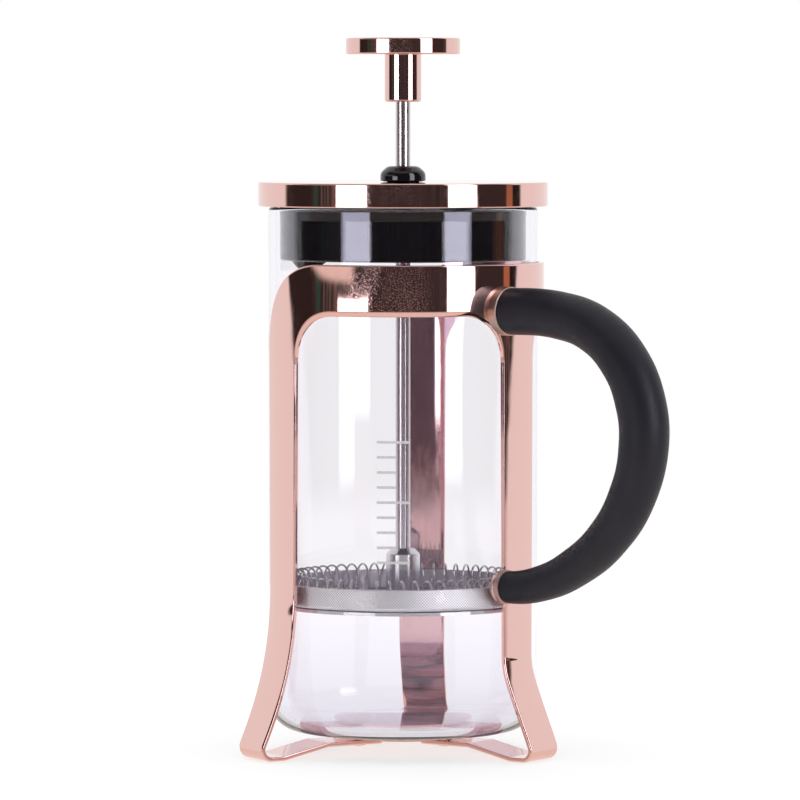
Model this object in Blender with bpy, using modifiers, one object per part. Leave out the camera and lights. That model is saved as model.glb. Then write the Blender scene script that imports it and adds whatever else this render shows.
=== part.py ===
"""French press: a glass beaker in a plated sheet-metal frame, with a lid, a plunger and a filter stack.

Metres, +Z up. The origin is on the floor, midway between the handle's outer side and the spout's tip,
and the press's own axis is the empty press_axis. +X points to the handle's leg, -X to the pour spout.
"""

import math

import bmesh
import bpy
from mathutils import Vector

MM = 0.001
GAP = 0.3 * MM  # clearance that separate pieces keep where they rest on each other

# Frame: one sheet, cut flat, rolled round the beaker and bent out into three legs with feet.
SHEET = 1.2 * MM
FRAME_RADIUS = 37.6 * MM  # middle of the sheet
BAND_BOTTOM = 119.1 * MM
BAND_TOP = 132.8 * MM
LEG_HALF_WIDTH = 7.1 * MM  # at the windows' upper corners, from where the legs taper
TAB_HALF_WIDTH = 6.1 * MM  # at the inner ends of the feet
LEG_ANGLES = (-114.4, 0.5, 116.9)
LEGS = range(len(LEG_ANGLES))
WINDOW_CORNER = 12.2 * MM
SHOULDER_RADIUS = 22 * MM
LEG_FLARES = (  # of each leg: the height where it starts to splay, the bend's radius and its angle
    (46 * MM, 102 * MM, 23.5),
    (28.3 * MM, 20 * MM, 20.8),
    (28.3 * MM, 20 * MM, 20.8),
)
FOOT_RADIUS = 2.6 * MM
FOOT_LAND = 3.5 * MM
TAB_RISE = 12.0
TAB_BEND = 4 * MM
TAB_LEVEL = 3.5 * MM  # height of the middle of the sheet where it carries the base disc
TAB_END_RADIUS = 9 * MM
LEG_STEP = 8 * MM  # longest stretch of a bend that is left straight
SLIVER = 0.3 * MM  # points of the cut sheet closer than this become one

# Base disc under the beaker, riveted to the three leg tabs.
DISC_RADIUS = 19 * MM
DISC_THICKNESS = 1.0 * MM
RIVET_RADIUS = 1.5 * MM
RIVET_HEAD = 2.4 * MM
RIVET_PLACE = 14 * MM

# Glass beaker.
GLASS_BOTTOM = 5.9 * MM
GLASS_TOP = 147.6 * MM
GLASS_RADIUS = 36.4 * MM
GLASS_WALL = 1.8 * MM
GLASS_FLOOR = 2.2 * MM
GLASS_CORNER = 8 * MM
SPOUT_REACH = 4.6 * MM
SPOUT_HALF_ANGLE = 24.0
SPOUT_DEPTH = 17 * MM

# Handle, in the upright plane at HANDLE_ANGLE: (distance from the axis, height, grip radius).
HANDLE_ANGLE = -9.0
HANDLE_PATH = (
    (40.4, 120.4, 6.25),
    (57.5, 119.8, 6.3),
    (70.5, 116.3, 6.4),
    (80.5, 108.6, 6.55),
    (86.3, 98.0, 6.65),
    (87.5, 86.5, 6.6),
    (83.3, 72.8, 6.25),
    (75.0, 61.8, 5.75),
    (64.0, 53.8, 5.3),
    (52.0, 48.7, 4.8),
    (39.4, 46.8, 4.3),
)
END_LEVER = 4 * MM  # how far the grip's two ends run straight
FERRULE_RADIUS = 6.5 * MM
COLLAR_RADIUS = 4.6 * MM
SCREW_RADIUS = 1.9 * MM
SCREW_HEAD = 3.0 * MM
SCREW_LENGTH = 12 * MM

# Lid: a plated cover over a black plastic liner whose skirt hangs inside the beaker.
COVER_RADIUS = 39.2 * MM
COVER_BOTTOM = 147.9 * MM
COVER_TOP = 154.4 * MM
COVER_WALL = 0.8 * MM
COVER_EDGE = 1.2 * MM
SKIRT_RADIUS = 33.3 * MM
SKIRT_WALL = 1.6 * MM
SKIRT_BOTTOM = 133.4 * MM
TONGUE_BOTTOM = 129.8 * MM
TONGUE_SPAN = 44.0
LID_BORE = 4.6 * MM

# Bushing that guides the rod, and its nut under the lid.
BUSHING_RADIUS = 6 * MM
BUSHING_TOP = 158.6 * MM
BUSHING_SHANK = 4.3 * MM
BUSHING_BOTTOM = 146.9 * MM
BUSHING_BORE = 2.25 * MM
NUT_RADIUS = 7.5 * MM
NUT_HEIGHT = 2.6 * MM

# Plunger rod and knob.
ROD_RADIUS = 2.0 * MM
ROD_BORE = 2.3 * MM
ROD_BOTTOM = 37.7 * MM
ROD_TOP = 185.8 * MM
STEM_RADIUS = 4.95 * MM
STEM_BOTTOM = 176.0 * MM
KNOB_RADIUS = 15.45 * MM
KNOB_BOTTOM = 188.8 * MM
KNOB_TOP = 193.2 * MM

# Filter stack, from below: cross plate, mesh screen, spiral plate with its coil, hub.
PLATE_BOTTOM = 39.5 * MM
PLATE_RADIUS = 33.2 * MM
PLATE_THICKNESS = 0.9 * MM
SCREEN_RADIUS = 34.3 * MM
SCREEN_WALL = 0.5 * MM
SCREEN_TOP = 46.6 * MM
SPIRAL_RADIUS = 27.4 * MM
COIL_RADIUS = 30.6 * MM  # middle of the coil, around the axis
COIL_TOP = 48.8 * MM
COIL_HALF_HEIGHT = 3.0 * MM
COIL_HALF_WIDTH = 2.5 * MM
COIL_WIRE = 0.28 * MM
COIL_LOOPS = 57
COIL_POINTS = 9  # in one loop
HUB_RADIUS = 4.6 * MM
HUB_TOP = 55.2 * MM
HUB_CHAMFER = 1.6 * MM
FILTER_NUT_RADIUS = 4.6 * MM
HOLE_RADIUS = 5.2 * MM
HOLE_PLACE = 20 * MM

BIG_STEPS = 48
SMALL_STEPS = 24

GRIP_REACH = max(rho + radius for rho, _, radius in HANDLE_PATH) * MM
AXIS_X = (GLASS_RADIUS + SPOUT_REACH - GRIP_REACH * math.cos(math.radians(HANDLE_ANGLE))) / 2


def clear_scene():
    for obj in list(bpy.data.objects):
        bpy.data.objects.remove(obj, do_unlink=True)


def new_collection(name):
    collection = bpy.data.collections.new(name)
    bpy.context.scene.collection.children.link(collection)
    return collection


def principled(name, color, roughness, metallic=0.0, transmission=0.0):
    material = bpy.data.materials.new(name)
    material.use_nodes = True
    shader = material.node_tree.nodes["Principled BSDF"]
    shader.inputs["Base Color"].default_value = (*color, 1.0)
    shader.inputs["Roughness"].default_value = roughness
    shader.inputs["Metallic"].default_value = metallic
    shader.inputs["Transmission Weight"].default_value = transmission
    material.diffuse_color = (*color, 1.0)
    return material


def add_object(name, mesh, material, collection=None):
    """A mesh as a named object under press_axis, smooth where its faces meet gently."""
    obj = bpy.data.objects.new(name, mesh)
    (collection or PARTS).objects.link(obj)
    obj.parent = AXIS
    if material:
        mesh.materials.append(material)
        mesh.shade_smooth()
        mesh.set_sharp_from_angle(angle=math.radians(35))
    return obj


def arc(center, radius, start, end, steps=4):
    """Points on an arc between two angles in degrees, both ends included."""
    points = []
    for step in range(steps + 1):
        angle = math.radians(start + (end - start) * step / steps)
        points.append((center[0] + radius * math.cos(angle), center[1] + radius * math.sin(angle)))
    return points


def turned(name, profile, material, closed=False, steps=BIG_STEPS, angle=360.0):
    """A profile of (radius, height) points, down its outer side, turned about Z by a Screw."""
    mesh = bpy.data.meshes.new(name)
    count = len(profile)
    edges = [(i, (i + 1) % count) for i in range(count if closed else count - 1)]
    mesh.from_pydata([(radius, 0, height) for radius, height in profile], edges, [])
    obj = add_object(name, mesh, material)
    screw = obj.modifiers.new("turn", "SCREW")
    screw.angle = math.radians(angle)
    screw.steps = screw.render_steps = steps
    screw.use_merge_vertices = angle == 360.0
    screw.merge_threshold = 0.00001
    screw.use_smooth_shade = True
    return obj


def ring(name, outer, inner, bottom, top, material, steps=BIG_STEPS):
    """A plain washer or tube."""
    profile = [(inner, top), (outer, top), (outer, bottom), (inner, bottom)]
    return turned(name, profile, material, closed=True, steps=steps)


def cylinder(name, radius, bottom, top, material=None, segments=SMALL_STEPS, tip_radius=None):
    """A cylinder, or a cone with a tip radius, standing on bottom. Without a material it is a cutter."""
    mesh = bpy.data.meshes.new(name)
    cage = bmesh.new()
    bmesh.ops.create_cone(
        cage, cap_ends=True, segments=segments, radius1=radius,
        radius2=radius if tip_radius is None else tip_radius, depth=top - bottom,
    )
    bmesh.ops.translate(cage, verts=cage.verts, vec=(0, 0, (top + bottom) / 2))
    cage.to_mesh(mesh)
    cage.free()
    obj = add_object(name, mesh, material, PARTS if material else CUTTERS)
    if not material:
        obj.hide_render = True
        obj.display_type = "WIRE"
    return obj


def combine(obj, other, operation="DIFFERENCE"):
    boolean = obj.modifiers.new(other.name, "BOOLEAN")
    boolean.operation = operation
    boolean.solver = "EXACT"
    boolean.object = other


def baked_copy(obj, name, material):
    """The object's evaluated mesh as a new object in its place, with its caps welded."""
    obj.parent = AXIS
    bpy.context.view_layer.update()
    graph = bpy.context.evaluated_depsgraph_get()
    mesh = bpy.data.meshes.new_from_object(obj.evaluated_get(graph))
    matrix = obj.matrix_local.copy()
    bpy.data.objects.remove(obj, do_unlink=True)
    cage = bmesh.new()
    cage.from_mesh(mesh)
    bmesh.ops.remove_doubles(cage, verts=cage.verts, dist=0.00001)
    bmesh.ops.recalc_face_normals(cage, faces=cage.faces)
    cage.to_mesh(mesh)
    cage.free()
    mesh.name = name
    mesh.materials.clear()
    new = add_object(name, mesh, material)
    new.matrix_local = matrix
    return new


def radial(obj, height, angle=HANDLE_ANGLE):
    """Turns a piece made along Z to point out from the axis at a height, in the plane at angle."""
    obj.rotation_euler = (0, math.radians(90), math.radians(angle))
    obj.location = (0, 0, height)


# ---- frame ----------------------------------------------------------------------------------------


def leg_segments(leg):
    """(length, turn in degrees) of a leg's middle line, from where its flare starts to the tab's end."""
    start, bend, splay = LEG_FLARES[leg]
    flare = math.radians(splay)
    rise = math.radians(TAB_RISE)
    flare_end = start - bend * math.sin(flare)
    foot_drop = FOOT_RADIUS * (1 + math.sin(flare))
    shin = (flare_end - foot_drop - SHEET / 2) / math.cos(flare)
    bend_rise = 2 * TAB_BEND * (1 - math.cos(rise))
    ramp = (TAB_LEVEL - SHEET / 2 - bend_rise) / math.sin(rise)
    foot_reach = (
        FRAME_RADIUS + bend * (1 - math.cos(flare)) + shin * math.sin(flare)
        - FOOT_RADIUS * math.cos(flare)
    )
    level = (
        foot_reach - FOOT_LAND - 2 * TAB_BEND * math.sin(rise) - ramp * math.cos(rise) - TAB_END_RADIUS
    )
    return (
        (bend * flare, splay),
        (shin, 0.0),
        (FOOT_RADIUS * (math.pi / 2 + flare), -90.0 - splay),
        (FOOT_LAND, 0.0),
        (TAB_BEND * rise, -TAB_RISE),
        (ramp, 0.0),
        (TAB_BEND * rise, TAB_RISE),
        (level, 0.0),
    )


def leg_point(leg, along):
    """Radius, height and lean (in radians, outwards) of a leg's middle line, along its length."""
    radius, height, lean = FRAME_RADIUS, LEG_FLARES[leg][0], 0.0
    for length, turn in leg_segments(leg):
        step = min(along, length)
        turned_by = math.radians(turn) * step / length
        if turn:
            bend = step / turned_by
            radius += bend * (math.cos(lean) - math.cos(lean + turned_by))
            height -= bend * (math.sin(lean + turned_by) - math.sin(lean))
        else:
            radius += step * math.sin(lean)
            height -= step * math.cos(lean)
        lean += turned_by
        along -= step
        if along <= 0:
            break
    return radius, height, lean


LEG_PLACES = [math.radians(angle) * FRAME_RADIUS for angle in LEG_ANGLES]  # across the flat sheet
TAB_ENDS = [LEG_FLARES[leg][0] - sum(length for length, _ in leg_segments(leg)) for leg in LEGS]
FLAT_FROM = [sum(length for length, _ in leg_segments(leg)[:2]) for leg in LEGS]  # from the foot on


def rolled(across, up):
    """Where a point of the flat sheet goes when the sheet is rolled and its legs are bent."""
    leg = min(LEGS, key=lambda index: abs(across - LEG_PLACES[index]))
    along = LEG_FLARES[leg][0] - up
    if along <= 0:
        angle = across / FRAME_RADIUS
        return Vector((FRAME_RADIUS * math.cos(angle), FRAME_RADIUS * math.sin(angle), up))
    offset = across - LEG_PLACES[leg]
    radius, height, lean = leg_point(leg, along)
    share = min(along / FLAT_FROM[leg], 1.0) ** 2
    curve = (1 - share * share * (3 - 2 * share)) / FRAME_RADIUS
    side, sag = offset, 0.0
    if curve > 1e-6:
        side, sag = math.sin(offset * curve) / curve, (1 - math.cos(offset * curve)) / curve
    radius -= sag * math.cos(lean)
    height -= sag * math.sin(lean)
    turn = math.radians(LEG_ANGLES[leg])
    return Vector((
        radius * math.cos(turn) - side * math.sin(turn),
        radius * math.sin(turn) + side * math.cos(turn),
        height,
    ))


def sheet_outline():
    """The flat sheet, as (across, up) points: a band with two round shoulders over three legs."""
    left, right = LEG_PLACES[0] - LEG_HALF_WIDTH, LEG_PLACES[-1] + LEG_HALF_WIDTH
    shoulder = BAND_TOP - SHOULDER_RADIUS
    outline = arc((right - SHOULDER_RADIUS, shoulder), SHOULDER_RADIUS, 0, 90, 8)
    outline += arc((left + SHOULDER_RADIUS, shoulder), SHOULDER_RADIUS, 90, 180, 8)
    for index, (leg, tab_end) in enumerate(zip(LEG_PLACES, TAB_ENDS)):
        if index:
            corner = (leg - LEG_HALF_WIDTH - WINDOW_CORNER, BAND_BOTTOM - WINDOW_CORNER)
            outline += arc(corner, WINDOW_CORNER, 90, 0, 5)
        if index == 1:
            outline += handle_ear()
        outline += [(leg - TAB_HALF_WIDTH, tab_end), (leg + TAB_HALF_WIDTH, tab_end)]
        if index < 2:
            corner = (leg + LEG_HALF_WIDTH + WINDOW_CORNER, BAND_BOTTOM - WINDOW_CORNER)
            outline += arc(corner, WINDOW_CORNER, 180, 90, 5)
    return outline


def handle_ear():
    """The round bulge on the leg's edge that backs the handle's lower end."""
    height = HANDLE_PATH[-1][1] * MM
    center = math.radians(HANDLE_ANGLE) * FRAME_RADIUS
    top = BAND_BOTTOM - WINDOW_CORNER
    taper = (top - height) / (top - TAB_ENDS[1])
    edge = LEG_PLACES[1] - LEG_HALF_WIDTH + (LEG_HALF_WIDTH - TAB_HALF_WIDTH) * taper
    half = math.degrees(math.acos((center - edge) / COLLAR_RADIUS))
    return arc((center, height), COLLAR_RADIUS, 180 - half, 180 + half, 6)


def split_lines(cage, normal, places, near=None):
    """Cuts the flat sheet along straight lines, either right across or only in the leg at near."""
    for place in places:
        faces = [
            face for face in cage.faces
            if near is None or abs(face.calc_center_median().x - near) < 1.5 * LEG_HALF_WIDTH
        ]
        edges = {edge for face in faces for edge in face.edges}
        geometry = list({vertex for face in faces for vertex in face.verts}) + list(edges) + faces
        point = Vector(normal) * place
        bmesh.ops.bisect_plane(cage, geom=geometry, dist=1e-7, plane_co=point, plane_no=normal)


def make_frame():
    curve = bpy.data.curves.new("sheet", "CURVE")
    curve.dimensions = "2D"
    curve.fill_mode = "BOTH"
    spline = curve.splines.new("POLY")
    outline = sheet_outline()
    spline.points.add(len(outline) - 1)
    for point, (across, up) in zip(spline.points, outline):
        point.co = (across, up, 0, 1)
    spline.use_cyclic_u = True
    blank = bpy.data.objects.new("sheet", curve)
    CUTTERS.objects.link(blank)
    frame = baked_copy(blank, "frame", ROSE_GOLD)

    cage = bmesh.new()
    cage.from_mesh(frame.data)
    bmesh.ops.dissolve_limit(cage, angle_limit=0.01, verts=cage.verts, edges=cage.edges)
    column = math.radians(360 / BIG_STEPS) * FRAME_RADIUS
    reach = int(math.radians(LEG_ANGLES[-1] + 10) * FRAME_RADIUS / column)
    split_lines(cage, (1, 0, 0), [column * i for i in range(-reach, reach + 1)])
    for leg, place in enumerate(LEG_PLACES):
        rows = [LEG_FLARES[leg][0]]
        for length, turn in leg_segments(leg):
            steps = max(1, round(abs(turn) / 14), round(length / LEG_STEP) if turn else 0)
            rows += [rows[-1] - length / steps * step for step in range(1, steps + 1)]
        split_lines(cage, (0, 1, 0), rows[:-1], place)
    bmesh.ops.remove_doubles(cage, verts=cage.verts, dist=SLIVER)
    for vertex in cage.verts:
        vertex.co = rolled(vertex.co.x, vertex.co.y)
    bmesh.ops.recalc_face_normals(cage, faces=cage.faces)
    if sum(face.normal.dot(face.calc_center_median() * Vector((1, 1, 0))) for face in cage.faces) < 0:
        bmesh.ops.reverse_faces(cage, faces=cage.faces)
    cage.to_mesh(frame.data)
    cage.free()
    solid = frame.modifiers.new("sheet", "SOLIDIFY")
    solid.thickness = SHEET
    solid.offset = 0
    solid.use_even_offset = True
    for name, height in (("upper", HANDLE_PATH[0][1]), ("lower", HANDLE_PATH[-1][1])):
        inside = FRAME_RADIUS - SHEET
        hole = cylinder(
            f"countersink_{name}", SCREW_HEAD + 0.9 * MM, inside, inside + 2 * SHEET,
            tip_radius=SCREW_RADIUS - 0.1 * MM,
        )
        radial(hole, height * MM)
        combine(frame, hole)
        bore = cylinder(f"screw_hole_{name}", SCREW_RADIUS + GAP, inside, inside + 4 * SHEET)
        radial(bore, height * MM)
        combine(frame, bore)
    for index, leg in enumerate(LEG_ANGLES):
        hole = cylinder(f"rivet_hole_{index + 1}", RIVET_RADIUS + GAP, 0, TAB_LEVEL + SHEET)
        place_around(hole, RIVET_PLACE, leg)
        combine(frame, hole)


def place_around(obj, radius, angle):
    turn = math.radians(angle)
    obj.location = (radius * math.cos(turn), radius * math.sin(turn), obj.location.z)


def make_base():
    bottom = TAB_LEVEL + SHEET / 2 + GAP
    top = bottom + DISC_THICKNESS
    disc = cylinder("base_disc", DISC_RADIUS, bottom, top, ROSE_GOLD, 36)
    head_top = TAB_LEVEL - SHEET / 2 - GAP
    for index, leg in enumerate(LEG_ANGLES):
        profile = [
            (0, top - 0.1 * MM), (RIVET_RADIUS, top - 0.1 * MM),
            (RIVET_RADIUS, head_top), (RIVET_HEAD, head_top),
            (RIVET_HEAD, head_top - 0.5 * MM), (RIVET_RADIUS, head_top - 1.0 * MM),
            (0, head_top - 1.0 * MM),
        ]
        rivet = turned(f"base_rivet_{index + 1}", profile, ROSE_GOLD, steps=16)
        place_around(rivet, RIVET_PLACE, leg)
        hole = cylinder(f"disc_hole_{index + 1}", RIVET_RADIUS + GAP, bottom - MM, top + MM, segments=16)
        place_around(hole, RIVET_PLACE, leg)
        combine(disc, hole)


# ---- beaker ---------------------------------------------------------------------------------------


def make_beaker():
    inner = GLASS_RADIUS - GLASS_WALL
    inner_corner = GLASS_CORNER - GLASS_WALL
    lip = GLASS_WALL / 2
    floor = GLASS_BOTTOM + GLASS_FLOOR
    profile = [(0, floor)]
    profile += arc((inner - inner_corner, floor + inner_corner), inner_corner, -90, 0, 4)
    heights = [GLASS_TOP - SPOUT_DEPTH * share for share in (1, 0.75, 0.5, 0.3)]
    profile += [(inner, height) for height in heights]
    profile += arc((inner + lip, GLASS_TOP - lip), lip, 180, 0, 4)
    profile += [(GLASS_RADIUS, height) for height in reversed(heights)]
    profile += arc((GLASS_RADIUS - GLASS_CORNER, GLASS_BOTTOM + GLASS_CORNER), GLASS_CORNER, 0, -90, 5)
    profile += [(0, GLASS_BOTTOM)]
    beaker = baked_copy(turned("beaker_turned", profile, GLASS), "glass_beaker", GLASS)
    for vertex in beaker.data.vertices:
        reach = spout_shift(vertex.co)
        direction = Vector((vertex.co.x, vertex.co.y, 0))
        if reach > 0:
            vertex.co += direction.normalized() * reach


def spout_shift(point):
    """How far the pour spout stands out at a point of the beaker's wall."""
    away = abs(180 - abs(math.degrees(math.atan2(point.y, point.x))))
    height = (point.z - (GLASS_TOP - SPOUT_DEPTH)) / SPOUT_DEPTH
    if away >= SPOUT_HALF_ANGLE or height <= 0:
        return 0.0
    return SPOUT_REACH * height**2 * math.cos(math.pi / 2 * away / SPOUT_HALF_ANGLE) ** 2


# ---- handle ---------------------------------------------------------------------------------------


def make_handle():
    curve = bpy.data.curves.new("grip_path", "CURVE")
    curve.dimensions = "3D"
    curve.bevel_depth = MM
    curve.bevel_resolution = 3
    curve.use_fill_caps = True
    curve.resolution_u = 4
    spline = curve.splines.new("BEZIER")
    spline.bezier_points.add(len(HANDLE_PATH) - 1)
    for point, (reach, height, radius) in zip(spline.bezier_points, HANDLE_PATH):
        point.co = (reach * MM, 0, height * MM)
        point.radius = radius
        point.handle_left_type = point.handle_right_type = "AUTO"
    for point in (spline.bezier_points[0], spline.bezier_points[-1]):
        # Both ends leave the frame at a right angle.
        point.handle_left_type = point.handle_right_type = "FREE"
        point.handle_left = point.handle_right = point.co + Vector((END_LEVER, 0, 0))
    path = bpy.data.objects.new("grip_path", curve)
    PARTS.objects.link(path)
    grip = baked_copy(path, "handle_grip", BLACK_GRIP)
    grip.location = (0, 0, 0)
    grip.rotation_euler = (0, 0, math.radians(HANDLE_ANGLE))

    ends = (("upper", HANDLE_PATH[0], FERRULE_RADIUS), ("lower", HANDLE_PATH[-1], COLLAR_RADIUS))
    for name, (reach, height, _), radius in ends:
        # The ferrule's back is cut to the curve of the frame, which it sits on.
        outer = FRAME_RADIUS + SHEET / 2 + GAP
        ferrule = turned(
            f"handle_ferrule_{name}",
            [
                (SCREW_RADIUS + GAP, reach * MM - GAP), (radius - 0.3 * MM, reach * MM - GAP),
                (radius, reach * MM - 2 * GAP), (radius, outer - 1.2 * MM),
                (SCREW_RADIUS + GAP, outer - 1.2 * MM),
            ],
            ROSE_GOLD, closed=True, steps=SMALL_STEPS,
        )
        radial(ferrule, height * MM)
        saddle = cylinder(f"saddle_{name}", outer, -10 * MM, 10 * MM, segments=2 * BIG_STEPS)
        saddle.location = (0, 0, height * MM)
        combine(ferrule, saddle)
        face = FRAME_RADIUS - SHEET / 2 + 0.1 * MM
        tip = reach * MM + SCREW_LENGTH
        screw = turned(
            f"handle_screw_{name}",
            [
                (0, tip), (SCREW_RADIUS, tip - 0.5 * MM), (SCREW_RADIUS, face + SCREW_HEAD - SCREW_RADIUS),
                (SCREW_HEAD, face), (0, face),
            ],
            STEEL, steps=16,
        )
        radial(screw, height * MM)
        pocket = cylinder(
            f"screw_pocket_{name}", SCREW_RADIUS + GAP, (reach - 5) * MM, tip + GAP, segments=16
        )
        radial(pocket, height * MM)
        combine(grip, pocket)


# ---- lid ------------------------------------------------------------------------------------------


def make_lid():
    edge = (COVER_RADIUS - COVER_EDGE, COVER_TOP - COVER_EDGE)
    under = COVER_TOP - COVER_WALL
    profile = [(LID_BORE, COVER_TOP)] + arc(edge, COVER_EDGE, 90, 0, 3)
    profile += [(COVER_RADIUS, COVER_BOTTOM), (COVER_RADIUS - COVER_WALL, COVER_BOTTOM)]
    profile += [(COVER_RADIUS - COVER_WALL, under), (LID_BORE, under)]
    turned("lid_cover", profile, ROSE_GOLD, closed=True)

    deck = under - GAP
    rim = COVER_RADIUS - COVER_WALL - GAP
    inner = SKIRT_RADIUS - SKIRT_WALL
    profile = [(LID_BORE, deck), (rim, deck), (rim, COVER_BOTTOM), (SKIRT_RADIUS, COVER_BOTTOM)]
    profile += [(SKIRT_RADIUS, SKIRT_BOTTOM), (inner, SKIRT_BOTTOM)]
    profile += [(inner, deck - 1.8 * MM), (LID_BORE, deck - 1.8 * MM)]
    liner = turned("lid_liner", profile, BLACK_GLOSS, closed=True)
    make_tongue(liner, inner)

    profile = [
        (BUSHING_BORE, BUSHING_TOP), (3.6 * MM, BUSHING_TOP), (5.2 * MM, BUSHING_TOP - 0.8 * MM),
        (BUSHING_RADIUS, BUSHING_TOP - 2.0 * MM), (5.6 * MM, COVER_TOP + 2 * GAP),
        (4.9 * MM, COVER_TOP + GAP), (BUSHING_SHANK, COVER_TOP + GAP),
        (BUSHING_SHANK, BUSHING_BOTTOM), (BUSHING_BORE, BUSHING_BOTTOM),
    ]
    turned("rod_bushing", profile, BLACK_GLOSS, closed=True, steps=SMALL_STEPS)
    nut_top = deck - 1.8 * MM - GAP
    nut = cylinder("bushing_nut", NUT_RADIUS, nut_top - NUT_HEIGHT, nut_top, BLACK_GLOSS, 6)
    bore = cylinder("nut_bore", BUSHING_SHANK + GAP, nut_top - 2 * NUT_HEIGHT, nut_top + NUT_HEIGHT)
    combine(nut, bore)


def make_tongue(liner, inner):
    """The strainer tongue that hangs from the skirt behind the pour spout."""
    overlap = 2 * MM
    profile = [(inner + 0.1 * MM, SKIRT_BOTTOM + overlap), (SKIRT_RADIUS - 0.1 * MM, SKIRT_BOTTOM + overlap)]
    profile += [(SKIRT_RADIUS - 0.1 * MM, TONGUE_BOTTOM), (inner + 0.1 * MM, TONGUE_BOTTOM)]
    strip = turned("tongue_strip", profile, BLACK_GLOSS, closed=True, steps=8, angle=TONGUE_SPAN)
    strip.rotation_euler = (0, 0, math.radians(180 - TONGUE_SPAN / 2))
    tongue = baked_copy(strip, "tongue", BLACK_GLOSS)
    cage = bmesh.new()
    cage.from_mesh(tongue.data)
    bmesh.ops.holes_fill(cage, edges=[edge for edge in cage.edges if edge.is_boundary])
    bmesh.ops.recalc_face_normals(cage, faces=cage.faces)
    cage.to_mesh(tongue.data)
    cage.free()
    PARTS.objects.unlink(tongue)
    CUTTERS.objects.link(tongue)
    tongue.hide_render = True
    tongue.display_type = "WIRE"
    combine(liner, tongue, "UNION")


# ---- plunger --------------------------------------------------------------------------------------


def make_plunger():
    cylinder("plunger_rod", ROD_RADIUS, ROD_BOTTOM, ROD_TOP, STEEL, SMALL_STEPS)
    roof = ROD_TOP + GAP
    stem_top = KNOB_BOTTOM - GAP
    profile = [(0, stem_top), (STEM_RADIUS, stem_top), (STEM_RADIUS, STEM_BOTTOM + 0.5 * MM)]
    profile += [(STEM_RADIUS - 0.5 * MM, STEM_BOTTOM), (ROD_BORE, STEM_BOTTOM), (ROD_BORE, roof), (0, roof)]
    turned("knob_stem", profile, ROSE_GOLD, steps=SMALL_STEPS)
    edge = 1.0 * MM
    profile = [(0, KNOB_TOP)] + arc((KNOB_RADIUS - edge, KNOB_TOP - edge), edge, 90, 0, 3)
    profile += arc((KNOB_RADIUS - edge, KNOB_BOTTOM + edge), edge, 0, -90, 3) + [(0, KNOB_BOTTOM)]
    turned("knob_disc", profile, ROSE_GOLD)


def drill_plate(plate, name, holes):
    """Cuts (hole radius, distance from the axis, count) rings of round holes through a filter plate."""
    for row, (radius, place, count) in enumerate(holes):
        for index in range(count):
            hole = cylinder(
                f"{name}_hole_{row}_{index}", radius, PLATE_BOTTOM - 2 * MM, SCREEN_TOP + 2 * MM, segments=12
            )
            place_around(hole, place, 360 * index / count)
            combine(plate, hole)


def make_coil():
    """The spring wire wound into a closed ring of loops that presses the screen against the glass."""
    curve = bpy.data.curves.new("coil_wire", "CURVE")
    curve.dimensions = "3D"
    curve.bevel_depth = COIL_WIRE
    curve.bevel_resolution = 0
    spline = curve.splines.new("POLY")
    count = COIL_LOOPS * COIL_POINTS
    spline.points.add(count - 1)
    middle = COIL_TOP - COIL_WIRE - COIL_HALF_HEIGHT
    for index, point in enumerate(spline.points):
        around = 2 * math.pi * index / count
        loop = around * COIL_LOOPS
        radius = COIL_RADIUS + COIL_HALF_WIDTH * math.cos(loop)
        height = middle + COIL_HALF_HEIGHT * math.sin(loop)
        point.co = (radius * math.cos(around), radius * math.sin(around), height, 1)
    spline.use_cyclic_u = True
    wire = bpy.data.objects.new("coil_wire", curve)
    PARTS.objects.link(wire)
    baked_copy(wire, "coil_spring", STEEL)


def make_filter():
    plate_top = PLATE_BOTTOM + PLATE_THICKNESS
    cross = ring("cross_plate", PLATE_RADIUS, ROD_BORE, PLATE_BOTTOM, plate_top, STEEL)
    drill_plate(cross, "cross", ((HOLE_RADIUS, HOLE_PLACE, 6),))

    floor = plate_top + GAP
    inner = SCREEN_RADIUS - SCREEN_WALL
    profile = [(ROD_BORE, floor + SCREEN_WALL), (inner - 0.6 * MM, floor + SCREEN_WALL)]
    profile += [(inner, floor + SCREEN_WALL + 0.6 * MM), (inner, SCREEN_TOP), (SCREEN_RADIUS, SCREEN_TOP)]
    profile += [(SCREEN_RADIUS, floor + 0.6 * MM), (SCREEN_RADIUS - 0.6 * MM, floor), (ROD_BORE, floor)]
    turned("mesh_screen", profile, STEEL, closed=True)

    spiral_floor = floor + SCREEN_WALL + GAP
    spiral_top = spiral_floor + PLATE_THICKNESS
    spiral = ring("spiral_plate", SPIRAL_RADIUS, ROD_BORE, spiral_floor, spiral_top, STEEL)
    drill_plate(spiral, "spiral", ((3.0 * MM, 12 * MM, 6), (3.0 * MM, 21 * MM, 10)))

    make_coil()

    hub_bottom = spiral_top + GAP
    profile = [(ROD_BORE, HUB_TOP), (HUB_RADIUS - HUB_CHAMFER, HUB_TOP), (HUB_RADIUS, HUB_TOP - HUB_CHAMFER)]
    profile += [(HUB_RADIUS, hub_bottom), (ROD_BORE, hub_bottom)]
    turned("filter_hub", profile, STEEL, closed=True, steps=SMALL_STEPS)

    nut = cylinder("filter_nut", FILTER_NUT_RADIUS, ROD_BOTTOM, PLATE_BOTTOM - GAP, STEEL, 6)
    bore = cylinder("filter_nut_bore", ROD_BORE, ROD_BOTTOM - MM, PLATE_BOTTOM + MM)
    combine(nut, bore)


clear_scene()
PARTS = new_collection("french_press")
CUTTERS = new_collection("cutters")
AXIS = bpy.data.objects.new("press_axis", None)
PARTS.objects.link(AXIS)
AXIS.location = (AXIS_X, 0, 0)

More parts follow.
